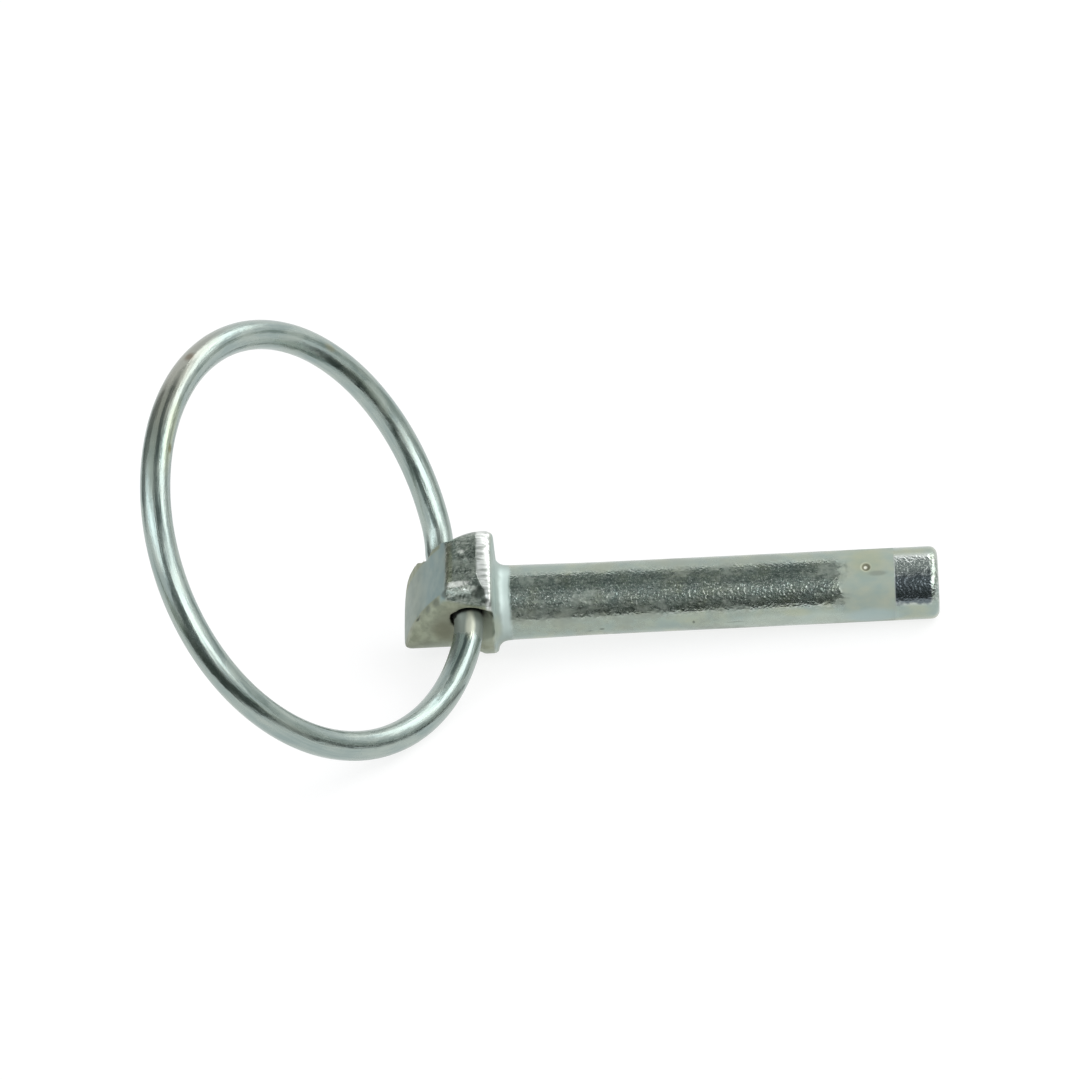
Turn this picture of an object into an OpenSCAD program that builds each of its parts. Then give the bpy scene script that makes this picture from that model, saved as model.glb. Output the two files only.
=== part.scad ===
// Lynch pin: a forged steel pin with a flat-sided head, and a sprung wire ring whose
// two ends sit in a slanting hole through the head.
// The modules draw the pin along X, with its shoulder at X = 0, its tip towards +X and the
// top of its head towards +Z. laid() then puts the middle of its shank at the origin and
// turns the whole part as it comes to rest on a table, on its collar, its tip and its ring.

/* [Shank] */
// Diameter of the round shank
shank_d = 8; // [6:0.5:10]
// Length of the shank from the shoulder to the tip
shank_len = 48.6; // [30:0.1:90]
// Radius on the edge of the tip
tip_r = 0.9; // [0.3:0.1:1.5]
// Radius of the fillet between the shoulder and the shank
neck_r = 1; // [0.4:0.1:1.2]
// How much the shank swells in diameter next to the fillet
neck_swell = 0.3; // [0:0.05:0.6]
// Distance from the shoulder at which the swelling has run out
neck_run = 11; // [4:0.5:20]

/* [Head] */
// Length of the head behind the shoulder, collar included
head_len = 10.6; // [9.6:0.1:12]
// Height of the head's top above the shank's axis, at the ridge
head_top = 7.2; // [7:0.1:8.5]
// Diameter of the head's round underside, and the width of its sides at the axis
head_w = 9.1; // [9:0.1:10.4]
// Width across the head's top
top_w = 8.7; // [8:0.1:9.3]
// Width across the top of the head's end, where its sides close in
tail_w = 5; // [4:0.1:8.6]
// Distance from the shoulder back to the ridge, where the bevel begins
ridge_x = 4.85; // [4.6:0.05:5.6]
// Length of the bevel behind the ridge, before it curves down into the head's end
bevel_run = 0.8; // [0.8:0.1:2.2]
// Radius on the long edges of the top, at the ridge and at the collar
edge_r = 1.9; // [1:0.1:2.2]
// Radius round the head's end
tail_edge = 1; // [0.5:0.1:1.2]

/* [Collar] */
// Thickness of the collar at the shoulder
collar_t = 1.9; // [1.9:0.1:2.4]
// Diameter of the collar's round underside
collar_d = 11; // [10.6:0.1:13]
// Width across the collar's flat sides at its top
collar_w = 11; // [10:0.1:11]
// Height of the collar's flat top above the shank's axis
collar_top = 7.4; // [6.4:0.1:7.6]
// Radius round the rim of the collar's underside
collar_edge = 0.45; // [0.2:0.05:0.5]
// Radius round the rim of its top
lip_edge = 0.9; // [0.4:0.05:0.95]

/* [Hole] */
// Diameter of the hole for the ring's ends
hole_d = 3.8; // [3.6:0.1:4.2]
// Distance from the shoulder back to the middle of the hole
hole_x = 4.5; // [4.3:0.05:4.8]
// Height of the hole above the shank's axis
hole_z = 3.2; // [2.8:0.1:3.6]
// Slant of the hole away from square to the shank
hole_slant = 20; // [0:1:21]
// Clearance worn round the wire where it swings past the hole's mouths
swing_play = 0.2; // [0.1:0.05:0.4]

/* [Ring] */
// Inside diameter of the ring
ring_inner_d = 43; // [36:0.5:70]
// Diameter of the ring's wire
wire_d = 3.2; // [2:0.1:3.3]
// Angle between the line of the hole and the far side of the ring
ring_skew = 27; // [5:1:32]
// Radius of the tighter bend beside each end
end_r = 10; // [8:0.5:14]
// Angle of that bend
end_bend = 22; // [5:1:30]
// Distance between the two bends at the hole's mouths
span = 9.2; // [8.8:0.1:11]
// Length of straight wire inside each end of the hole
stub_len = 3; // [1.5:0.1:3.5]
// Angle of the ring above the shank, where at 0 it lies along the shank
ring_angle = 133; // [5:1:225]

// Angle of the ring when it is closed against the shank
closed_angle = -5; // [-5:0.5:4]
// Angle of the ring when it is swung fully open
open_angle = 230; // [180:5:240]

/* [Hidden] */

shank_r = shank_d / 2;
wire_r = wire_d / 2;
$fn = 96;
// Number of facets round the forged edges
edge_fn = 32;
// Overlap that joins one solid to the next
lap = 0.05;
// How far the balls that join two lengths of wire stand proud of it
weld = 0.01;

// The bevel falls at this angle, and runs on as an arc that ends upright
bevel_angle = 45;
tail_arc = (head_len - ridge_x - bevel_run) / (1 - cos(bevel_angle));
tail_x = tail_arc - head_len;
tail_z = head_top - bevel_run * tan(bevel_angle) - tail_arc * sin(bevel_angle);

// The bent wire sweeps a cone, which starts inside the hole and runs past the head's sides
room_r = wire_r + swing_play;
room_h = 6;
// The wire's bend carries it this much further as it passes the head's side
room_sag = wire_d ^ 2 / (2 * end_r);
room_depth = 1.5;
room_r1 = room_r / cos(ring_skew) - room_depth * tan(ring_skew);
room_r2 = room_r / cos(ring_skew) + room_h * tan(ring_skew);

// Half of the ring, laid flat in its own plane from the far side to the bend at its end
bow_r = ring_inner_d / 2 + wire_r;
end_y = span / 2 * cos(ring_skew);
end_z = span / 2 * sin(ring_skew);
bend_a = bow_r - end_r + end_r * cos(end_bend);
bend_b = end_r * sin(end_bend);
bow_angle = 180 - asin(end_y / norm([bend_a, bend_b])) - atan2(bend_b, bend_a);
bow_reach = bow_r - (bow_r - end_r) * cos(bow_angle) - end_r * cos(bow_angle + end_bend);
bow_tilt = asin(end_z / bow_reach);

function turn_x(v, a) = [v.x, v.y * cos(a) - v.z * sin(a), v.y * sin(a) + v.z * cos(a)];
function turn_y(v, a) = [v.x * cos(a) + v.z * sin(a), v.y, v.z * cos(a) - v.x * sin(a)];
function turn_z(v, a) = [v.x * cos(a) - v.y * sin(a), v.x * sin(a) + v.y * cos(a), v.z];

// The pin lies on its collar and its tip, so its axis falls towards the tip
lie_run = shank_len - tip_r + collar_edge;
lie_drop = collar_d / 2 - collar_edge - (shank_r - tip_r);
lie_pitch = atan2(lie_drop, lie_run) + asin((collar_edge - tip_r) / norm([lie_run, lie_drop]));
floor_z = collar_edge * (sin(lie_pitch) - 1) - (collar_d / 2 - collar_edge) * cos(lie_pitch);

// It rolls over onto the half of the ring towards -Y, which it meets at the lowest wire
function ring_turned(v) = turn_z(turn_y(turn_x(v, ring_skew), 180 - ring_angle), hole_slant);
bow_mid = ring_turned([(bow_r - bow_reach) * cos(bow_tilt), 0, bow_r * sin(bow_tilt)])
    + [-hole_x, 0, hole_z];
bow_axis = ring_turned([-sin(bow_tilt), 0, cos(bow_tilt)]);
function laid_z(v, roll) = turn_y(turn_x(v, roll), lie_pitch).z;
function ring_gap(roll) =
    laid_z(bow_mid, roll) - bow_r * sqrt(1 - laid_z(bow_axis, roll) ^ 2) - wire_r - floor_z;
function settle(low, high, steps) =
    let (mid = (low + high) / 2)
        steps == 0 ? mid
        : ring_gap(mid) > 0 ? settle(mid, high, steps - 1)
        : settle(low, mid, steps - 1);
most_roll = 60;
halvings = 24;
lie_roll = settle(0, most_roll, halvings);

module along_x() {
    rotate([0, 90, 0])
        children();
}

module shank() {
    along_x()
        rotate_extrude() {
            translate([0, -collar_t / 2])
                square([shank_r - neck_r, collar_t]);
            polygon([
                [0, 0],
                [shank_r + neck_swell / 2, 0],
                [shank_r + neck_swell / 2, neck_r],
                [shank_r, neck_run],
                [shank_r, shank_len - tip_r],
                [shank_r - tip_r, shank_len - tip_r],
                [shank_r - tip_r, shank_len],
                [0, shank_len],
            ]);
            difference() {
                translate([shank_r, -lap])
                    square([neck_swell / 2 + neck_r, neck_r + lap]);
                translate([shank_r + neck_swell / 2 + neck_r, neck_r])
                    circle(neck_r);
            }
            intersection() {
                translate([shank_r - tip_r, shank_len - tip_r])
                    circle(tip_r);
                translate([shank_r - tip_r - lap, shank_len - tip_r - lap])
                    square(tip_r + 2 * lap);
            }
        }
}

// One cross-section of the head: a round underside below two corners
module section(x, d, w, top, corner) {
    translate([-x, 0, 0])
        along_x() {
            cylinder(d = d, h = lap, center = true, $fn = 2 * edge_fn);
            for (side = [-1, 1])
                translate([corner - top, side * (w / 2 - corner), 0])
                    cylinder(r = corner, h = lap, center = true, $fn = edge_fn);
        }
}

// The head's body behind the ridge, whose sides close in towards the top of its end
module block() {
    hull() {
        section(ridge_x, head_w, top_w, head_top, edge_r);
        translate([tail_edge - head_len, 0, 0])
            along_x() {
                rotate_extrude($fn = 2 * edge_fn)
                    translate([head_w / 2 - tail_edge, 0])
                        circle(tail_edge, $fn = edge_fn);
                for (side = [-1, 1])
                    translate([tail_edge - head_top, side * (tail_w / 2 - tail_edge), 0])
                        sphere(tail_edge, $fn = edge_fn);
            }
    }
}

// Side view of the head behind the ridge: the bevel, the arc and the upright end
module side_view() {
    intersection() {
        translate([-head_len, -head_w])
            square([head_len - ridge_x, head_w + head_top]);
        union() {
            translate([tail_x, tail_z])
                circle(tail_arc);
            translate([-head_len, -head_w])
                square([head_len, head_w + tail_z]);
        }
        translate([-ridge_x, head_top])
            rotate(bevel_angle)
                translate([-2 * head_len, -4 * head_len])
                    square([4 * head_len, 4 * head_len]);
    }
}

// Rear of the head, cut to the side view
module rear_block() {
    intersection() {
        block();
        rotate([90, 0, 0])
            linear_extrude(2 * head_w, center = true)
                side_view();
    }
}

// Front of the head, flaring from the ridge to the collar
module flare() {
    hull() {
        section(ridge_x, head_w, top_w, head_top, edge_r);
        section(collar_t - lip_edge, collar_d, collar_w, collar_top, edge_r);
    }
}

// Disc as thick as the collar, with a rounded rim
module rounded_disc(r, edge, facets) {
    for (x = [edge, collar_t - edge])
        translate([0, 0, -x])
            rotate_extrude($fn = facets)
                translate([r - edge, 0])
                    circle(edge, $fn = edge_fn / 2);
}

module collar() {
    hull()
        along_x() {
            rounded_disc(collar_d / 2, collar_edge, 2 * edge_fn);
            for (side = [-1, 1])
                translate([edge_r - collar_top, side * (collar_w / 2 - edge_r), 0])
                    rounded_disc(edge_r, lip_edge, edge_fn);
        }
}

// Puts its children on the slanting line of the hole, which becomes their Y
module on_hole() {
    translate([-hole_x, 0, hole_z])
        rotate([0, 0, hole_slant])
            children();
}

module hole() {
    on_hole()
        rotate([90, 0, 0])
            cylinder(d = hole_d, h = 2 * collar_d, center = true);
}

// Half space past distance d from Z, towards angle a
module beyond(d, a) {
    rotate(a)
        translate([d, -2 * head_len, -head_len])
            cube(4 * head_len);
}

// Room that the bent wire sweeps at the mouth towards +Y, all but the wedge it never enters
module mouth() {
    translate([0, span / 2, 0])
        rotate([-90, 0, 0])
            difference() {
                translate([0, 0, -room_depth])
                    cylinder(r1 = room_r1, r2 = room_r2, h = room_h + room_depth);
                intersection() {
                    beyond(room_r + room_sag, 180 - closed_angle);
                    beyond(room_r, -open_angle);
                }
            }
}

module relief() {
    on_hole() {
        mouth();
        mirror([0, 1, 0])
            rotate([0, 180, 0])
                mouth();
    }
}

// Puts the middle of the shank at the origin, with the part lying as it comes to rest
module laid() {
    rotate([0, lie_pitch, 0])
        rotate([lie_roll, 0, 0])
            translate([-(neck_run + shank_len - tip_r) / 2, 0, 0])
                children();
}

module forged_pin() {
    color("LightSteelBlue")
        laid()
            difference() {
                union() {
                    shank();
                    collar();
                    flare();
                    rear_block();
                }
                hole();
                relief();
            }
}

// A length of wire bent to radius r, from angle a through angle turn
module bent_wire(r, a, turn) {
    rotate_extrude(angle = turn, start = a)
        translate([r, 0])
            circle(wire_r);
}

// Joins two lengths of wire at a point
module joint_ball() {
    sphere(wire_r + weld);
}

// Half of the ring, from its far side to the bend at the hole's mouth
module half_bow() {
    translate([-bow_reach * cos(bow_tilt), 0, 0]) {
        joint_ball();
        rotate([0, bow_tilt, 0])
            translate([bow_r, 0, 0]) {
                bent_wire(bow_r, 180 - bow_angle, bow_angle);
                rotate([0, 0, 180 - bow_angle]) {
                    translate([bow_r - end_r, 0, 0])
                        bent_wire(end_r, -end_bend, end_bend);
                    translate([bow_r, 0, 0])
                        joint_ball();
                }
            }
    }
}

module spring_ring() {
    color("Silver")
        laid()
            on_hole()
                rotate([0, 180 - ring_angle, 0])
                    for (half = [0, 180])
                        rotate([half, 0, 0]) {
                            rotate([ring_skew, 0, 0])
                                half_bow();
                            translate([0, span / 2, 0])
                                joint_ball();
                            translate([0, span / 2 - stub_len, 0])
                                rotate([-90, 0, 0])
                                    cylinder(r = wire_r, h = stub_len);
                        }
}

forged_pin();
spring_ring();
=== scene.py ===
"""Lynch pin: the finish of its forged pin and of the sprung wire ring in its head."""

import math

import bpy
import numpy as np
from mathutils import Matrix, Vector

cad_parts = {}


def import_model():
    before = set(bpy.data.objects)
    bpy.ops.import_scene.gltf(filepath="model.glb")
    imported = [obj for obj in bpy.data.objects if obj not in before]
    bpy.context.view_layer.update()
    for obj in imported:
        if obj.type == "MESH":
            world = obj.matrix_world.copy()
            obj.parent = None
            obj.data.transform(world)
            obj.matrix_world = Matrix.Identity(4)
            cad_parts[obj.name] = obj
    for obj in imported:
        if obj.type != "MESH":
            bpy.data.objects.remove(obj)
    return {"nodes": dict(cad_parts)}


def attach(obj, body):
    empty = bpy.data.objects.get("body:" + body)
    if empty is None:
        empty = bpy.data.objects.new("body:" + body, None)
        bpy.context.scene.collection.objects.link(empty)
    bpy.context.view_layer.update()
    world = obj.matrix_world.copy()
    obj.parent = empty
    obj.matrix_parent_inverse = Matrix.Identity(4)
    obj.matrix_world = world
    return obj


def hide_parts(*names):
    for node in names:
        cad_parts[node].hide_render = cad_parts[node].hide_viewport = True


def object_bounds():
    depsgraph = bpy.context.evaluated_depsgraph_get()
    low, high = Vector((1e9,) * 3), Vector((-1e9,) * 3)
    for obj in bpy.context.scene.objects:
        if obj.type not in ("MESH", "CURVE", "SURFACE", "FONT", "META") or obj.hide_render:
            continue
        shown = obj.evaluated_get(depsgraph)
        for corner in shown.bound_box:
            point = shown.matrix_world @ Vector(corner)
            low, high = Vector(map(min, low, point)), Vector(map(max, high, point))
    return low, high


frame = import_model()
cad_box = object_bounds()

MM = 0.001

# The pin as it is drawn: along X from its shoulder, in millimetres
SHANK_LEN = 48.6
TIP_R = 0.9
NECK_RUN = 11.0
SHANK_MID = (NECK_RUN + SHANK_LEN - TIP_R) / 2

# How the whole part lies on the table, in degrees
LIE_ROLL = 24.929
LIE_PITCH = 1.784

# The hole through the head, and the ring whose ends turn in it
HOLE = Vector((-4.5, 0, 3.2))
HOLE_SLANT = 20
RING_ANGLE = 133
RING_SKEW = 27
WIRE_R = 1.6
BOW_R = 43 / 2 + WIRE_R
END_R = 10
END_BEND = 22
SPAN = 9.2
STUB_LEN = 3
KINK_R = 2.4

# Along the wire from the far side of the ring: where the hole has worn it dull, and where
# painted shade darkens it in the hole's mouth
WORN_FROM = 65.3
MOUTH_SHADE_FROM = 68.35

# Across the pin, towards the far upper edge of its shank as it lies
UPPERMOST = (0, 0.79, 0.61)
# Where the band rubbed dull near the tip ends
RUBBED_TO = 43.8
# Just behind the ridge between the head's flat top and its bevel
RIDGE = -5.2
# Level of the head's flat top above the shank's axis
TOP = 7.2

# Grain and depth of the plating's orange peel, and depth of the lines drawn along the wire
PEEL_SIZE = 0.27
PEEL_DEPTH = 0.042
DRAWN_DEPTH = 0.03

# Grid of the forging's skin, in millimetres, and rounds of smoothing that ease its edges
# and beat its near edge round
SKIN_GRID = 0.16
EASING = 50
BEATING = 160
# How steeply the near edge runs down beside the bevel
BEVEL_SLOPE = 1.35
# Sides of the wire, and length of the steps in which it is spun round its bends
WIRE_SIDES = 48
BEND_STEP = 0.5


# ---- Places ----------------------------------------------------------------

def turn(degrees, axis):
    return Matrix.Rotation(math.radians(degrees), 4, axis)


# Takes a place on the drawn pin, in millimetres, to where it lies, in metres
LAID = (turn(LIE_PITCH, "Y") @ turn(LIE_ROLL, "X")
        @ Matrix.Translation((-SHANK_MID * MM, 0, 0)) @ Matrix.Scale(MM, 4))
# Takes a place in the ring's own frame, where the line of the hole is Y, to where it lies
ON_HOLE = (LAID @ Matrix.Translation(HOLE) @ turn(HOLE_SLANT, "Z")
           @ turn(180 - RING_ANGLE, "Y"))
# Turns one half of the ring into the other
OTHER_HALF = turn(180, "X")


def towards(azimuth, elevation, distance):
    """A place seen from the part: azimuth 0 is towards -Y, and 90 towards +X."""
    a, e = math.radians(azimuth), math.radians(elevation)
    return Vector((math.sin(a) * math.cos(e), -math.cos(a) * math.cos(e), math.sin(e))) * distance


# ---- Modelling helpers -----------------------------------------------------

def only(piece):
    """Selects one object and makes it the active one."""
    if bpy.context.object and bpy.context.object.mode != "OBJECT":
        bpy.ops.object.mode_set(mode="OBJECT")
    bpy.ops.object.select_all(action="DESELECT")
    piece.select_set(True)
    bpy.context.view_layer.objects.active = piece


def edit(piece):
    """Opens one object in edit mode, with all of it selected."""
    only(piece)
    bpy.ops.object.mode_set(mode="EDIT")
    bpy.ops.mesh.select_all(action="SELECT")


def leave_edit():
    bpy.ops.object.mode_set(mode="OBJECT")


def modify(piece, kind, **settings):
    """Adds a modifier and applies it."""
    only(piece)
    modifier = piece.modifiers.new(kind.lower(), kind)
    for name, value in settings.items():
        setattr(modifier, name, value)
    bpy.ops.object.modifier_apply(modifier=modifier.name)


def copy_of(node, name):
    """A copy of a CAD node, with its loose triangles merged."""
    piece = bpy.data.objects.new(name, frame["nodes"][node].data.copy())
    bpy.context.scene.collection.objects.link(piece)
    piece.data.materials.clear()
    edit(piece)
    bpy.ops.mesh.remove_doubles(threshold=0.002 * MM)
    leave_edit()
    return piece


def positions(piece):
    """The piece's points, in metres."""
    co = np.zeros(len(piece.data.vertices) * 3)
    piece.data.vertices.foreach_get("co", co)
    return co.reshape(-1, 3)


# ---- Materials -------------------------------------------------------------

def colour(hex_code):
    """An sRGB hex colour as linear red, green, blue and alpha."""
    values = [int(hex_code[i:i + 2], 16) / 255 for i in (0, 2, 4)]
    return [v / 12.92 if v <= 0.04045 else ((v + 0.055) / 1.055) ** 2.4 for v in values] + [1.0]


def add(tree, kind, settings=None, inputs=None):
    """Adds a node with its settings. Its inputs are each given a plain value or a socket."""
    node = tree.nodes.new("ShaderNode" + kind)
    for name, value in (settings or {}).items():
        setattr(node, name, value)
    for name, value in (inputs or {}).items():
        if isinstance(value, bpy.types.NodeSocket):
            tree.links.new(value, node.inputs[name])
        else:
            node.inputs[name].default_value = value
    return node


def new_material(name):
    material = bpy.data.materials.new(name)
    material.use_nodes = True
    tree = material.node_tree
    return material, tree, tree.nodes["Principled BSDF"]


def pin_places(tree):
    """Places on the drawn pin, in millimetres."""
    back = LAID.inverted()
    coordinates = add(tree, "TexCoord")
    return add(tree, "Mapping", None,
               {"Vector": coordinates.outputs["Object"], "Location": back.to_translation(),
                "Rotation": back.to_euler(), "Scale": back.to_scale()}).outputs["Vector"]


def grains(tree, places, size, detail=2.0, stretch=(1, 1, 1)):
    """Uneven grains about size millimetres across, times stretch along each axis."""
    scaled = add(tree, "Mapping", None,
                 {"Vector": places, "Scale": [1 / (size * k) for k in stretch]})
    return add(tree, "TexNoise", None,
               {"Vector": scaled.outputs["Vector"], "Scale": 1.0, "Detail": detail}).outputs["Fac"]


def within(tree, *limits):
    """A pattern kept within limits on a surface. A limit is a measure and the two values
    between which it goes smoothly from 0 to 1, or from one to the other of the two amounts
    that follow them. A zone, a pattern or a plain number among the limits counts as it is."""
    kept = None
    for limit in limits:
        if isinstance(limit, tuple):
            measure, start, end, low, high = (*limit, 0.0, 1.0) if len(limit) == 3 else limit
            if start > end:
                start, end, low, high = end, start, high, low
            limit = add(tree, "MapRange", {"interpolation_type": "SMOOTHSTEP"},
                        {"Value": measure, "From Min": start, "From Max": end,
                         "To Min": low, "To Max": high}).outputs["Result"]
        if kept is None:
            kept = limit
        else:
            kept = add(tree, "Math", {"operation": "MULTIPLY"}, {0: kept, 1: limit}).outputs[0]
    return kept


def painted(tree, under, over, where, amount=1.0, start=0.0, end=1.0):
    """Covers one colour with another, up to amount, as where rises from start to end. Each
    is a hex colour or a pattern of colours."""
    cover = add(tree, "MapRange", None,
                {"Value": where, "From Min": start, "From Max": end, "To Max": amount})
    under, over = (colour(c) if isinstance(c, str) else c for c in (under, over))
    return add(tree, "Mix", {"data_type": "RGBA"},
               {"Factor": cover.outputs["Result"], 6: under, 7: over}).outputs[2]


def spot(tree, places, centre, radius, soft, stretch=(1, 1, 1)):
    """1 within a radius of a place, falling to 0 over the next soft millimetres."""
    away = add(tree, "VectorMath", {"operation": "SUBTRACT"}, {0: places, 1: centre})
    away = add(tree, "VectorMath", {"operation": "DIVIDE"}, {0: away.outputs[0], 1: stretch})
    away = add(tree, "VectorMath", {"operation": "LENGTH"}, {0: away.outputs[0]})
    return within(tree, (away.outputs["Value"], radius + soft, radius))


def paint_marks_and_light(tree, places, base, marks_and_light):
    """Paints each mark, stains and painted light alike, over a base colour."""
    for centre, radius, soft, stretch, amount, hex_code in marks_and_light:
        mark_or_light = spot(tree, places, centre, radius, soft, stretch)
        base = painted(tree, base, hex_code, mark_or_light, amount)
    return base


# Stains, scratches, painted highlights, painted shade and painted reflections on the forging:
# centre, radius, softness, stretch, strength and colour. Places and sizes are in millimetres on the
# drawn pin.
PIN_MARKS_AND_PAINTED_LIGHT = (
    # The pit near the tip: the stain round it, its wall in painted light, its floor in painted shade
    # and a painted glint in it
    ((40.8, 0.7, 3.95), 0.9, 1.7, (1, 1.2, 1), 0.32, "A3A57C"),
    ((40.73, -0.51, 3.96), 0.55, 0.15, (1, 1, 1), 0.6, "C2C6AE"),
    ((40.73, -0.51, 3.96), 0.4, 0.15, (1, 1, 1), 0.85, "66664F"),
    ((40.67, -0.42, 3.68), 0.12, 0.16, (1, 1, 1), 0.95, "ECEEDF"),
    # Scratches and specks along the shank, and paler patches of painted reflection along its lower
    # side
    ((41.95, -1.28, 3.78), 0.18, 0.25, (3.2, 1, 1), 0.5, "747C74"),
    ((26.3, -3.98, -0.27), 0.06, 0.1, (9, 1, 1), 0.8, "4C534C"),
    ((11.5, -3.98, -0.39), 0.08, 0.12, (2, 1, 1), 0.7, "555C55"),
    ((10.2, -3.95, -0.68), 0.06, 0.1, (2.5, 1, 1), 0.6, "59605A"),
    ((21.6, -3.99, 0.1), 0.08, 0.12, (1, 1, 1.6), 0.7, "586056"),
    # Painted reflection: paler patches on the band along the shank's lower side
    ((33.0, -3.95, -0.6), 0.9, 1.0, (6, 1, 1), 0.6, "B8C4BA"),
    ((41.3, -3.97, -0.4), 0.8, 0.9, (2.2, 1, 1), 0.6, "ABBFC0"),
    ((33.0, -3.9, 0.8), 0.3, 0.5, (3, 1, 1), 0.3, "ADAE8C"),
    # The head: its ridge, its near corner and edge, its side, its top and the bevel's edge
    ((-4.85, 0, 7.2), 0.25, 0.4, (1, 8, 1), 0.5, "8F9376"),
    # Painted shade in the near corner by the collar
    ((-1.5, -3.9, 7.1), 0.5, 0.5, (1, 1, 1), 0.85, "363E38"),
    ((-0.95, -4.8, 6.8), 0.25, 0.4, (1, 1, 1), 0.8, "363E38"),
    # Painted highlights on the rounding of the near top edge
    ((-4.0, -2.65, 7.2), 0.22, 0.3, (4, 1, 1), 1.0, "F6F8F4"),
    ((-2.7, -3.3, 7.2), 0.2, 0.3, (2.5, 1, 1), 0.8, "DDE3DC"),
    ((-5.4, -3.5, 6.6), 0.3, 0.4, (1, 1, 1), 0.7, "4C534B"),
    # A painted dark reflection along the near top edge
    ((-3.9, -4.1, 6.9), 0.2, 0.25, (7, 1, 1), 0.7, "3E463F"),
    ((-8.55, -3.5, 2.5), 0.1, 0.15, (2, 1, 4), 0.75, "3F4741"),
    # Darker and browner to the left of the hole
    ((-5.9, -4.5, 1.4), 0.5, 1.2, (1, 1, 1.3), 0.5, "6B6A52"),
    ((-8.3, -4.2, -1.8), 0.8, 1.2, (2, 1, 1), 0.3, "73776A"),
    # A painted highlight on the head's top, with painted shade below it
    ((-3.4, 1.5, 7.45), 0.14, 0.22, (1.4, 1, 4), 0.9, "EEF1EC"),
    ((-3.45, 0.75, 7.45), 0.14, 0.3, (1.4, 1, 4), 0.7, "3A423C"),
    ((-6.4, -3.75, 5.5), 0.12, 0.22, (2, 2, 2.6), 0.6, "4C534B"),
    ((-7.3, -3.7, 4.3), 0.07, 0.2, (2, 2, 2.6), 0.5, "59605A"),
    # Painted light: paler under the hole, and in the hollow at its mouth
    ((-3.5, -4.2, -3.0), 1.2, 1.6, (3, 1, 1), 0.6, "B4BDAF"),
    ((-0.9, -4.3, 1.2), 1.0, 0.8, (1, 1, 1.6), 0.8, "AEB7A6"),
)

# The same for the ring, on its wire: run along it, out of the ring and sideways
WIRE_MARKS_AND_PAINTED_LIGHT = (
    # Brown streaks and specks round the far side
    ((13.5, 1.2, 0.6), 0.6, 1.0, (8, 1, 1), 0.5, "A59D90"),
    ((16.3, 1.37, 0.81), 0.15, 0.5, (1.6, 1, 1), 0.7, "6E6150"),
    ((4.25, -0.23, 1.58), 0.1, 0.35, (1.8, 1, 1), 0.85, "5A5536"),
    ((6.0, 0.1, 1.6), 0.3, 0.5, (8, 1, 1), 0.35, "B3B98F"),
    ((39.2, 0.0, 1.6), 0.15, 0.45, (2, 1, 1), 0.45, "A09A78"),
    # A painted highlight on the wear where it leaves the near mouth of the hole
    ((-66.8, -0.94, 1.2), 0.25, 0.5, (3.2, 1, 1), 0.9, "DCE0CE"),
)


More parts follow.
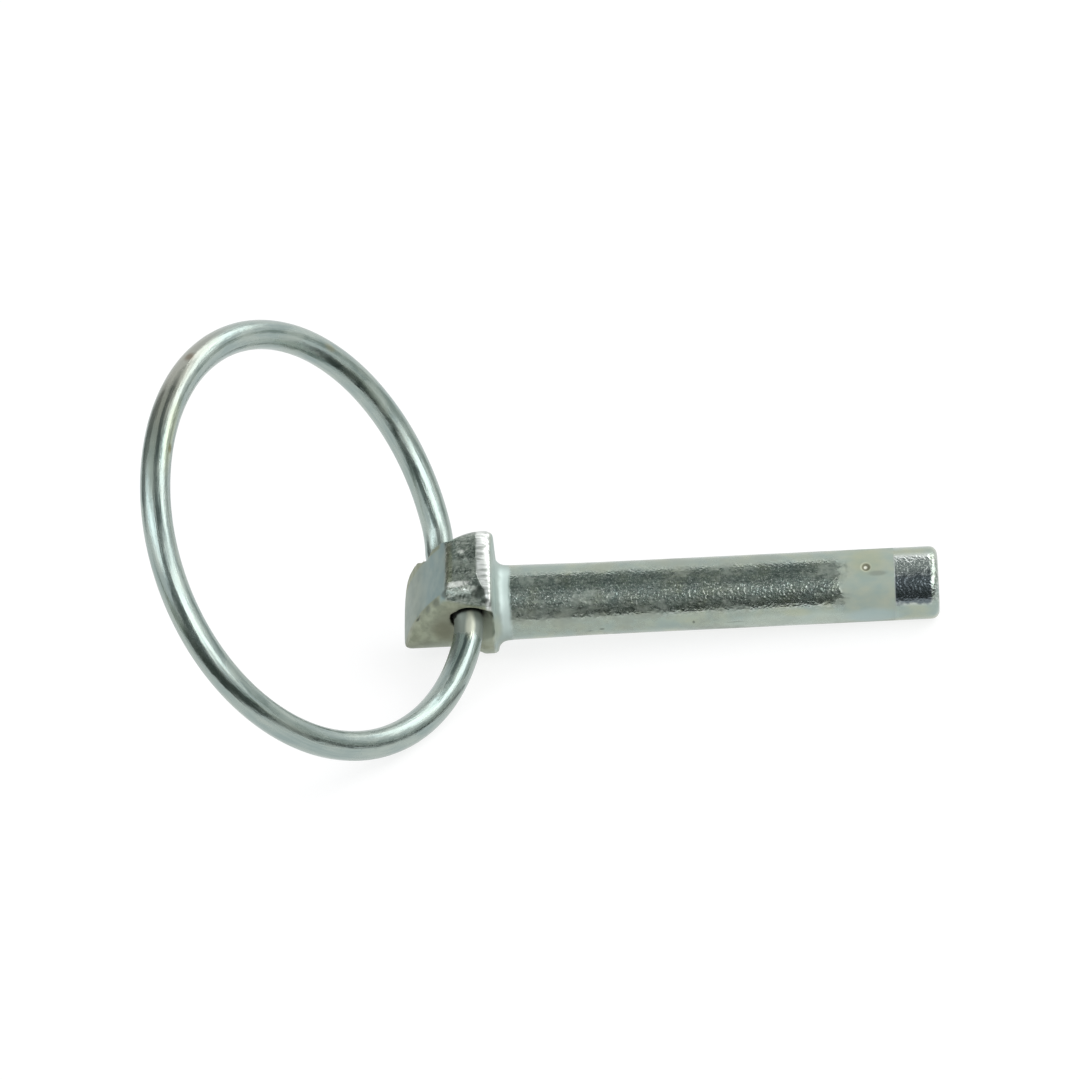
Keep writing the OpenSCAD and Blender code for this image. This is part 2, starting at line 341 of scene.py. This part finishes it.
def zinc_plated_forging():
    """Hot forged steel, barrel plated with zinc and passivated. Where the plating is bright
    its fine orange peel glitters. Where it is dull, in clouds, on the sides and the bevel of
    the head and in one band rubbed near the tip, a grey-green haze hides what it reflects.
    Painted highlights lie on the collar's rim, in the neck's hollow, over the tip's front,
    along the head's near top edge, on its top and in the pit, and painted light on the pit's
    wall; painted shade darkens the pit's floor, the head's near corner and a spot on its top;
    painted dark reflection lies on the tip's lower part and along the head's near top edge.
    Painted reflection makes the shank's lower side paler in patches, and painted light makes
    the head's side paler under the hole and in the hollow at its mouth."""
    material, tree, shader = new_material("zinc_plated_forging")
    places = pin_places(tree)
    x, y, z = add(tree, "SeparateXYZ", None, {"Vector": places}).outputs
    outwards = add(tree, "Math", {"operation": "ABSOLUTE"}, {0: y}).outputs[0]
    upwards = add(tree, "VectorMath", {"operation": "DOT_PRODUCT"},
                  {0: places, 1: UPPERMOST}).outputs["Value"]

    # Measures that run unevenly, so that the zones they bound have frayed edges
    fray = grains(tree, places, 0.9, 4.0)
    along, near_neck, level = (
        add(tree, "Math", {"operation": "MULTIPLY_ADD"}, {0: fray, 1: amount, 2: measure}).outputs[0]
        for measure, amount in ((x, 4.0), (x, 0.4), (upwards, 1.5)))
    cloud = add(tree, "Math", {"operation": "MULTIPLY_ADD"},
                {0: grains(tree, places, 0.7, 3.0), 1: 0.5,
                 2: grains(tree, places, 3.2, 4.0, (1.8, 1, 1))}).outputs[0]

    # The shank: its bright front, the haze on it, the band rubbed dull, the tip and the neck
    on_shank = within(tree, (upwards, -2.6, -1.7), (upwards, 3.5, 2.7), (x, 0.5, 1.5))
    haze = within(tree, (cloud, 0.6, 1.0), (x, RUBBED_TO, RUBBED_TO - 0.3))
    rubbed = within(tree, (along, 38.6, 41.2), (x, RUBBED_TO + 0.15, RUBBED_TO - 0.15),
                    (z, -1.5, 1.5, 0.4, 1.0))
    tip = within(tree, (x, RUBBED_TO - 0.1, RUBBED_TO + 0.1), (x, 47.9, 47.6))
    # A painted dark reflection on the tip's lower part, and a painted highlight over the tip's front
    painted_dark_on_tip = within(tree, tip, (level, 2.7, 1.2), (level, -1.6, -1.1))
    tip_painted_highlight = within(tree, tip, on_shank)
    neck = within(tree, (near_neck, 2.1, 1.5), (x, -0.35, -0.05))
    # A painted highlight in the hollow of the neck
    hollow = within(tree, neck, (near_neck, 0.5, 1.0), (upwards, 4.4, 3.0), (upwards, -4.5, -1.0))

    # The head: its top, the scored rim of its collar with its painted highlight, its sides, its end
    # and the bevel
    head = within(tree, (x, -0.2, -0.6), (x, -5.5, -5.0))
    rim_edge = add(tree, "Math", {"operation": "ADD"},
                   {0: x, 1: within(tree, (y, -1.0, -4.8, 0.0, -0.95))}).outputs[0]
    rim = within(tree, (rim_edge, -1.95, -1.6), (x, -0.2, -0.45), (z, 4.5, 6.2))
    cheek = within(tree, (outwards, 3.05, 3.3), (x, -5.6, -6.1))
    side = within(tree, (outwards, 3.6, 4.1), (x, -0.2, -0.6), (z, 6.3, 5.8))
    side = add(tree, "Math", {"operation": "MAXIMUM"}, {0: side, 1: cheek}).outputs[0]
    mouth = spot(tree, places, (-3.6, -5.0, 2.2), 2.4, 1.8)
    tail = within(tree, (x, -5.0, -5.5))
    bevel = within(tree, tail, (x, -8.8, -7.0))
    rough = add(tree, "Math", {"operation": "MAXIMUM"}, {0: on_shank, 1: head}).outputs[0]

    # Colours, from the plating itself to what lies over it
    patches = grains(tree, places, 2.4, 4.0)
    base = painted(tree, "95A5A1", "9FACA2", patches, 1.0, 0.3, 0.5)
    base = painted(tree, base, "A8B09E", patches, 1.0, 0.5, 0.7)
    base = painted(tree, base, "646F6B", head, 0.85)
    streaks = within(tree, (grains(tree, places, 0.45, 4.0, (5, 1, 1)), 0.44, 0.64), on_shank)
    base = painted(tree, base, "6A7572", streaks, 0.55)
    spangle = within(tree, (grains(tree, places, 0.22, 2.0, (1.4, 1, 1)), 0.42, 0.66), rough)
    base = painted(tree, base, "CFD4CF", spangle, 0.55)
    mottled = painted(tree, "898F79", "A4AA92", grains(tree, places, 0.8, 5.0), 1.0, 0.35, 0.65)
    cloudy = painted(tree, "98A8A0", "A8B0A0", grains(tree, places, 1.3, 4.0, (1.6, 1, 1)),
                     1.0, 0.35, 0.65)
    # The rim's scored lines under a painted highlight
    scored_rim_highlight = painted(tree, "ABB0AB", "F2F5F2", grains(tree, places, 0.32, 2.0, (7, 1, 1)),
                      1.0, 0.35, 0.6)
    hazy = painted(tree, "8A978E", "9BA69B", grains(tree, places, 1.5, 4.0), 1.0, 0.38, 0.62)
    bluish = painted(tree, "91A9AC", "A9BAB6", grains(tree, places, 1.1, 3.0, (1, 2, 1)),
                     1.0, 0.38, 0.62)
    # Painted highlights go over the neck's hollow, the collar's rim and the tip's front, and a
    # painted dark reflection over the tip's lower part
    for over, where, amount in (("969E93", haze, 0.7), (hazy, tail, 0.9), (bluish, bevel, 0.6),
                                (mottled, side, 0.9), ("8A8E7A", mouth, 0.7),
                                (cloudy, rubbed, 1.0), ("A4B3AE", neck, 0.8),
                                ("D6E6E2", hollow, 1.0), (scored_rim_highlight, rim, 1.0),
                                ("DCE2E0", tip_painted_highlight, 0.85), ("566168", painted_dark_on_tip, 0.9)):
        base = painted(tree, base, over, where, amount)
    base = paint_marks_and_light(tree, places, base, PIN_MARKS_AND_PAINTED_LIGHT)
    tree.links.new(base, shader.inputs["Base Color"])

    # How far the haze hides the metal
    dull = rubbed
    for zone, amount in ((haze, 0.45), (side, 0.75), (mouth, 0.85), (tail, 0.7), (neck, 0.7),
                         (rim, 0.45)):
        dull = add(tree, "Math", {"operation": "MAXIMUM"},
                   {0: dull, 1: within(tree, zone, amount)}).outputs[0]
    tree.links.new(within(tree, (dull, 0.0, 1.0, 1.0, 0.2)), shader.inputs["Metallic"])
    tree.links.new(within(tree, (dull, 0.0, 1.0, 0.23, 0.6)), shader.inputs["Roughness"])

    # Orange peel of small round grains, flatter where the plating is dull and on the tip
    cells = add(tree, "TexVoronoi", {"feature": "SMOOTH_F1"},
                {"Vector": places, "Scale": 1 / PEEL_SIZE}).outputs["Distance"]
    peel = add(tree, "Math", {"operation": "ADD"},
               {0: grains(tree, places, PEEL_SIZE, 2.0, (1.4, 1, 1)), 1: cells}).outputs[0]
    peel = within(tree, peel, (rough, 0.0, 1.0, 0.15, 0.9))
    lumps = within(tree, grains(tree, places, 1.0, 1.0), head, 1.3)
    height = add(tree, "Math", {"operation": "ADD"}, {0: peel, 1: lumps}).outputs[0]
    height = within(tree, height, (dull, 0.1, 0.8, 1.0, 0.1), (painted_dark_on_tip, 0.0, 1.0, 1.0, 0.6),
                    (tip, 0.0, 1.0, 1.0, 1.5), (rim, 0.0, 1.0, 1.0, 0.15),
                    (neck, 0.0, 1.0, 1.0, 0.2))
    scores = within(tree, grains(tree, places, 0.3, 2.0, (8, 1, 1)), rim)
    height = add(tree, "Math", {"operation": "ADD"}, {0: height, 1: scores}).outputs[0]
    bump = add(tree, "Bump", None,
               {"Height": height, "Strength": 1.0, "Distance": PEEL_DEPTH * MM})
    tree.links.new(bump.outputs["Normal"], shader.inputs["Normal"])
    return material


def zinc_plated_wire():
    """Drawn spring wire, plated with zinc: smooth, with the die's fine lines along it. It is
    rubbed dull where it runs in the mouth of the hole. A painted highlight lies on that wear
    where it leaves the hole, and painted shade darkens it where it goes in."""
    material, tree, shader = new_material("zinc_plated_wire")
    places = add(tree, "Attribute", {"attribute_name": "wire_place"}).outputs["Vector"]
    run = add(tree, "SeparateXYZ", None, {"Vector": places}).outputs["X"]
    drawn = grains(tree, places, 0.28, 3.0, (16, 1, 1))
    blotch = grains(tree, places, 1.6, 3.0, (2.5, 1, 1))
    ragged = add(tree, "Math", {"operation": "MULTIPLY_ADD"}, {0: blotch, 1: 2.5, 2: run})
    worn = within(tree, (ragged.outputs[0], 1.0 - WORN_FROM, 0.1 - WORN_FROM))
    mouth_shade = within(tree, (run, 0.15 - MOUTH_SHADE_FROM, -0.15 - MOUTH_SHADE_FROM))

    streaks = add(tree, "Mix", {"data_type": "FLOAT"}, {"Factor": 0.4, 2: blotch, 3: drawn})
    base = painted(tree, "94A3A0", "AAB5AE", streaks.outputs[0], 1.0, 0.38, 0.62)
    base = painted(tree, base, "858E86", worn)
    base = paint_marks_and_light(tree, places, base, WIRE_MARKS_AND_PAINTED_LIGHT)
    # Painted shade where the wire goes into the hole's mouth
    base = painted(tree, base, "1C201D", mouth_shade)
    tree.links.new(base, shader.inputs["Base Color"])
    tree.links.new(within(tree, (worn, 0.0, 1.0, 1.0, 0.5)), shader.inputs["Metallic"])
    shine = add(tree, "Math", {"operation": "MAXIMUM"},
                {0: within(tree, (blotch, 0.3, 0.7, 0.17, 0.32)), 1: within(tree, worn, 0.4)})
    tree.links.new(shine.outputs[0], shader.inputs["Roughness"])

    height = add(tree, "Math", {"operation": "MULTIPLY_ADD"},
                 {0: grains(tree, places, 0.5, 2.0, (3, 1, 1)), 1: 0.8, 2: drawn})
    bump = add(tree, "Bump", None,
               {"Height": height.outputs[0], "Strength": 1.0, "Distance": DRAWN_DEPTH * MM})
    tree.links.new(bump.outputs["Normal"], shader.inputs["Normal"])
    return material


# ---- The forged pin --------------------------------------------------------

def pin_positions(piece):
    """The piece's points as places on the drawn pin, in millimetres."""
    back = np.array(LAID.inverted())
    return positions(piece) @ back[:3, :3].T + back[:3, 3]


def ease(value, start, end):
    """Goes smoothly from 0 at start to 1 at end."""
    t = np.clip((value - start) / (end - start), 0, 1)
    return t * t * (3 - 2 * t)


def weigh(piece, name, weights):
    """Makes a vertex group out of an array of weights."""
    group = piece.vertex_groups.new(name=name)
    for i in np.flatnonzero(weights > 0.001):
        group.add([int(i)], float(weights[i]), "REPLACE")
    return name


# Dents that press the forging's skin in: name, centre, length along the pin, width and depth.
# A depth below zero swells it. Places and sizes are in millimetres on the drawn pin.
DENTS = (
    ("full_top", (-2.6, 2.4, 7.3), 5.5, 7.0, -0.32),
    ("pit_wall", (40.73, -0.51, 3.96), 1.9, 1.9, -0.08),
    ("pit", (40.73, -0.51, 3.96), 1.3, 1.3, 0.3),
    ("tip_mark", (41.95, -1.28, 3.78), 1.5, 0.45, 0.04),
    ("long_mark", (26.3, -3.98, -0.27), 1.8, 0.4, 0.06),
    ("corner_dent", (-1.4, -4.2, 7.1), 2.0, 2.0, 0.15),
    ("corner_dent_low", (-0.9, -5.0, 6.4), 1.4, 1.4, 0.1),
    ("top_dent", (-3.5, 1.3, 7.27), 1.2, 0.9, 0.07),
    ("top_dent_low", (-3.2, 0.1, 7.28), 1.0, 1.4, 0.06),
    ("top_line", (-2.3, -1.3, 7.33), 0.5, 2.4, 0.05),
    ("slope_nick", (-8.55, -3.5, 2.5), 0.5, 1.2, 0.1),
)


def dent(piece, name, centre, length, width, depth):
    """Presses a hollow into the skin, deepest at its centre."""
    away = (pin_positions(piece) - np.array(centre)) / (length, width, width)
    away = np.sqrt((away ** 2).sum(axis=1))
    weigh(piece, name, 1 - ease(away * 2, 0.35, 1.0))
    modify(piece, "DISPLACE", strength=-depth * MM, mid_level=0, vertex_group=name)


def forging():
    """The forged pin, its edges eased as the dies and the plating barrel leave them."""
    piece = copy_of("forged_pin", "pin_forging")
    modify(piece, "REMESH", mode="VOXEL", voxel_size=SKIN_GRID * MM, use_smooth_shade=True)
    modify(piece, "SMOOTH", factor=0.5, iterations=3)
    x, y, z = pin_positions(piece).T
    lip = ease(x, -3.2, -2.2) * (1 - ease(x, -0.35, -0.1)) * ease(z, 3.5, 5.0)
    corner = ease(x, -5.3, -4.8) * (1 - ease(x, -0.5, -0.3)) * ease(z, 4.6, 5.4)
    corner = corner * ease(abs(y), 1.5, 2.5)
    neck = ease(x, 0.02, 0.3) * (1 - ease(x, 2.5, 4.0))
    eased = np.maximum(np.maximum(lip, corner), neck)
    modify(piece, "SMOOTH", factor=0.5, iterations=EASING,
           vertex_group=weigh(piece, "eased_edges", eased))

    # The near edge is beaten rounder, along the top and down the slope of the bevel
    x, y, z = pin_positions(piece).T
    slope = z - TOP - BEVEL_SLOPE * (x - RIDGE)
    top_edge = ease(z, 5.3, 6.2) * ease(x, -6.0, RIDGE) * (1 - ease(x, -0.9, -0.4))
    slope_edge = ease(slope, -1.5, -0.7) * (1 - ease(x, -5.6, -5.0)) * ease(z, 0.5, 1.5)
    near = np.maximum(top_edge, slope_edge) * ease(-y, 1.9, 2.9)
    modify(piece, "SMOOTH", factor=0.5, iterations=BEATING,
           vertex_group=weigh(piece, "near_edge", near))
    for marks in DENTS:
        dent(piece, *marks)
    return piece


# ---- The ring --------------------------------------------------------------

def wire_bends():
    """The bends from the far side of the ring to the end of one stub, in the ring's own
    frame. Each is a centre, an axis, an angle in radians and a radius."""
    skew, bend = math.radians(RING_SKEW), math.radians(END_BEND)
    end_y, end_z = SPAN / 2 * math.cos(skew), SPAN / 2 * math.sin(skew)
    a = BOW_R - END_R + END_R * math.cos(bend)
    b = END_R * math.sin(bend)
    bow = math.pi - math.asin(end_y / math.hypot(a, b)) - math.atan2(b, a)
    reach = BOW_R - (BOW_R - END_R) * math.cos(bow) - END_R * math.cos(bow + bend)
    tilt = math.asin(end_z / reach)
    flat = (turn(RING_SKEW, "X") @ Matrix.Translation((-reach * math.cos(tilt), 0, 0))
            @ Matrix.Rotation(tilt, 4, "Y") @ Matrix.Translation((BOW_R, 0, 0)))
    normal = (flat.to_3x3() @ Vector((0, 0, 1))).normalized()
    start = flat @ Vector((-BOW_R, 0, 0))
    bow_mid = flat @ Vector((0, 0, 0))
    spoke = flat.to_3x3() @ Vector((math.cos(math.pi - bow), math.sin(math.pi - bow), 0))
    bend_mid = bow_mid + spoke * (BOW_R - END_R)
    end = bend_mid + Matrix.Rotation(-bend, 3, normal) @ (spoke * END_R)
    along = normal.cross(end - bend_mid).normalized() * -1
    inwards = Vector((0, -1, 0))
    kink = along.angle(inwards)
    kink_axis = along.cross(inwards).normalized()
    trim = KINK_R * math.tan(kink / 2)
    kink_mid = end - along * trim + kink_axis.cross(along) * KINK_R
    return start, [
        (bow_mid, normal, -bow, BOW_R),
        (bend_mid, normal, -(bend - trim / END_R), END_R),
        (kink_mid, kink_axis, kink, KINK_R),
    ], STUB_LEN - trim


def bend_steps(angle, radius):
    """Number of steps in a bend."""
    return max(6, round(abs(angle) * radius / BEND_STEP))


def half_ring(turned, name):
    """One half of the ring: a circle spun round each bend, then drawn out into the stub."""
    start, bends, stub = wire_bends()
    place = ON_HOLE @ turned
    tangent = (place.to_3x3() @ (bends[0][1].cross(start - bends[0][0]))).normalized()
    bpy.ops.object.select_all(action="DESELECT")
    bpy.ops.mesh.primitive_circle_add(
        vertices=WIRE_SIDES, radius=WIRE_R * MM, location=place @ start,
        rotation=tangent.to_track_quat("Z", "Y").to_euler())
    piece = bpy.context.object
    piece.name = name
    bpy.ops.object.transform_apply(location=True, rotation=True, scale=True)
    edit(piece)
    for middle, axis, angle, radius in bends:
        bpy.ops.mesh.spin(steps=bend_steps(angle, radius), angle=-angle,
                          center=place @ middle, axis=(place.to_3x3() @ axis).normalized())
    inwards = (place.to_3x3() @ Vector((0, -1, 0))) * stub
    bpy.ops.mesh.extrude_region_move(TRANSFORM_OT_translate={"value": inwards})
    bpy.ops.mesh.edge_face_add()
    leave_edit()
    return piece


def centre_line():
    """Points along the middle of the wire from its far side to the end of one stub, with the
    distance run and the way out of the ring at each, all in the ring's own frame."""
    point, bends, stub = wire_bends()
    outwards = (point - bends[0][0]).normalized()
    flat_normal = bends[0][1]
    steps, run = [(0.0, point, outwards)], 0.0
    for middle, axis, angle, radius in bends:
        count = bend_steps(angle, radius)
        arm, way = point - middle, outwards
        for i in range(1, count + 1):
            swing = Matrix.Rotation(angle * i / count, 3, axis)
            point, outwards = middle + swing @ arm, swing @ way
            steps.append((run + abs(angle) * radius * i / count, point, outwards))
        run = steps[-1][0]
    for reach in (stub / 2, stub):
        steps.append((run + reach, point + Vector((0, -reach, 0)), outwards))
    return steps, flat_normal


def measure_wire(piece):
    """Gives each point of the ring its place on the wire, in millimetres: how far along it
    is, how far out of the ring, and how far to the side."""
    steps, sideways = centre_line()
    runs, points, ways = [], [], []
    for sign, turned in ((1, ON_HOLE), (-1, ON_HOLE @ OTHER_HALF)):
        for run, point, outwards in steps:
            runs.append(sign * run)
            points.append(turned @ point)
            ways.append((turned.to_3x3() @ outwards).normalized())
    side = (ON_HOLE.to_3x3() @ sideways).normalized()
    runs, points, ways = np.array(runs), np.array(points), np.array(ways)
    out = np.zeros((len(piece.data.vertices), 3))
    for i, point in enumerate(positions(piece)):
        nearest = np.argmin(((points - point) ** 2).sum(axis=1))
        arm = (point - points[nearest]) / MM
        out[i] = (runs[nearest], arm @ ways[nearest], arm @ np.array(side))
    attribute = piece.data.attributes.new("wire_place", "FLOAT_VECTOR", "POINT")
    attribute.data.foreach_set("vector", out.ravel())


def ring():
    """The whole ring: two like halves, joined at its far side."""
    first = half_ring(Matrix.Identity(4), "ring_wire")
    second = half_ring(OTHER_HALF, "ring_half")
    only(first)
    second.select_set(True)
    bpy.ops.object.join()
    edit(first)
    bpy.ops.mesh.remove_doubles(threshold=0.01 * MM)
    bpy.ops.mesh.normals_make_consistent(inside=False)
    leave_edit()
    bpy.ops.object.shade_smooth()
    measure_wire(first)
    return first


# ---- The studio ------------------------------------------------------------

# Distance of the lamps and of the standing flags, in metres
STUDIO_R = 0.9


def on_rays(tree, first, *others):
    """1 where light comes by one of these kinds of ray, and 0 elsewhere."""
    path = add(tree, "LightPath")
    found = path.outputs[first]
    for kind in others:
        found = add(tree, "Math", {"operation": "MAXIMUM"},
                    {0: found, 1: path.outputs[kind]}).outputs[0]
    return found


def floor(level):
    bpy.ops.object.select_all(action="DESELECT")
    bpy.ops.mesh.primitive_plane_add(size=8, location=(0, 0, level))
    piece = bpy.context.object
    piece.name = "floor"
    material, tree, shader = new_material("white_paper")
    shader.inputs["Base Color"].default_value = colour("F2F2F2")
    shader.inputs["Roughness"].default_value = 1.0
    shader.inputs["Specular IOR Level"].default_value = 0.0
    # The ground glows white where it is looked at, and still takes a faint shadow
    glow = add(tree, "Emission", None, {"Color": (1, 1, 1, 1), "Strength": 1.12})
    looked_at = within(tree, on_rays(tree, "Is Camera Ray", "Is Glossy Ray"), 0.7)
    mix = add(tree, "MixShader", None,
              {0: looked_at, 1: shader.outputs["BSDF"], 2: glow.outputs["Emission"]})
    tree.links.new(mix.outputs[0], tree.nodes["Material Output"].inputs["Surface"])
    piece.data.materials.append(material)


def flag(name, corners, hex_code):
    """A card, grey or dark, that only reflections show, as is stood round bright metal."""
    mesh = bpy.data.meshes.new(name)
    mesh.from_pydata(corners, [], [range(len(corners))])
    piece = bpy.data.objects.new(name, mesh)
    bpy.context.scene.collection.objects.link(piece)
    material, tree, shader = new_material(name + "_card")
    tree.nodes.remove(shader)
    glow = add(tree, "Emission", None, {"Color": colour(hex_code), "Strength": 1.0})
    tree.links.new(glow.outputs[0], tree.nodes["Material Output"].inputs["Surface"])
    mesh.materials.append(material)
    piece.visible_camera = False
    piece.visible_diffuse = False
    piece.visible_shadow = False
    piece.visible_transmission = False


def standing_flag(name, left, right, low, high, hex_code):
    """A flag between two azimuths and two elevations."""
    corners = ((left, low), (right, low), (right, high), (left, high))
    flag(name, [towards(*corner, STUDIO_R) for corner in corners], hex_code)


def flat_flag(name, left, right, front, back, height, hex_code):
    """A level flag, its edges given in metres."""
    corners = ((left, front), (right, front), (right, back), (left, back))
    flag(name, [Vector((x, y, height)) for x, y in corners], hex_code)


def softbox(name, azimuth, elevation, width, height, radiance, hex_code):
    """An area lamp that faces the part. Its power is worked out from its brightness."""
    lamp = bpy.data.lights.new(name, "AREA")
    lamp.color = colour(hex_code)[:3]
    lamp.shape = "RECTANGLE"
    lamp.size, lamp.size_y = width, height
    lamp.energy = radiance * math.pi * width * height
    thing = bpy.data.objects.new(name, lamp)
    thing.location = towards(azimuth, elevation, STUDIO_R)
    thing.rotation_euler = thing.location.to_track_quat("Z", "Y").to_euler()
    bpy.context.scene.collection.objects.link(thing)


def world():
    """White wherever the camera, a reflection or a refraction looks past the floor."""
    studio = bpy.data.worlds.new("studio")
    bpy.context.scene.world = studio
    studio.use_nodes = True
    tree = studio.node_tree
    soft = add(tree, "Background", None, {"Color": (1, 1, 1, 1), "Strength": 0.55})
    white = add(tree, "Background", None, {"Color": (1, 1, 1, 1), "Strength": 1.0})
    looked_at = on_rays(tree, "Is Camera Ray", "Is Glossy Ray", "Is Transmission Ray")
    mix = add(tree, "MixShader", None,
              {0: looked_at, 1: soft.outputs["Background"], 2: white.outputs["Background"]})
    tree.links.new(mix.outputs[0], tree.nodes["World Output"].inputs["Surface"])


def camera():
    data = bpy.data.cameras.new("camera")
    data.lens = 216.67
    data.sensor_width = 36
    data.clip_start, data.clip_end = 0.01, 20
    thing = bpy.data.objects.new("camera", data)
    thing.location = Vector((16.211, -635.102, 329.031)) * MM
    thing.rotation_euler = [math.radians(a) for a in (63.1242, 5.3543, 0.9048)]
    bpy.context.scene.collection.objects.link(thing)
    bpy.context.scene.camera = thing


def studio():
    level = cad_box[0].z
    floor(level)
    flat_flag("front_flag", -0.6, 0.6, -0.6, -0.055, level + 0.0004, "B0B5A9")
    flag("dark_flag", [Vector((x, y, level + 0.0006)) for x, y in
                       ((-0.45, -0.6), (0.28, -0.6), (0.0, -0.055), (-0.1, -0.055))], "565C57")
    flat_flag("shank_flag", -0.03, 0.075, -0.06, -0.011, level + 0.0008, "4A504C")
    standing_flag("lens_flag", -32, 12, 0, 22, "6B726F")
    standing_flag("brow_flag", -26, 10, 22, 46, "8C928F")
    standing_flag("high_flag", -6, 52, 45, 66, "6C7271")
    standing_flag("left_flag", -140, -96, 0, 52, "8C8F8C")
    standing_flag("low_right_flag", 72, 125, -3, 12, "B9BFBA")
    flat_flag("top_flag", -0.11, 0.13, -0.55, 0.26, 0.52, "6C7472")
    flat_flag("roof_flag", -0.6, 0.4, -0.3, 0.3, 0.56, "CBD0CB")
    softbox("left_softbox", -53, 37, 0.76, 0.38, 1.7, "F0F8FF")
    softbox("right_softbox", 41, 25, 0.78, 0.42, 2.0, "FFFFFF")
    softbox("back_softbox", 112, 47, 1.15, 0.6, 1.8, "FFFFFF")
    world()
    camera()


# ---- The whole part --------------------------------------------------------

studio()

pin = forging()
pin.data.materials.append(zinc_plated_forging())
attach(pin, "pin")
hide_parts("forged_pin")

loop = ring()
loop.data.materials.append(zinc_plated_wire())
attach(loop, "ring")
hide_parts("spring_ring")

bpy.context.scene.view_settings.view_transform = "Standard"
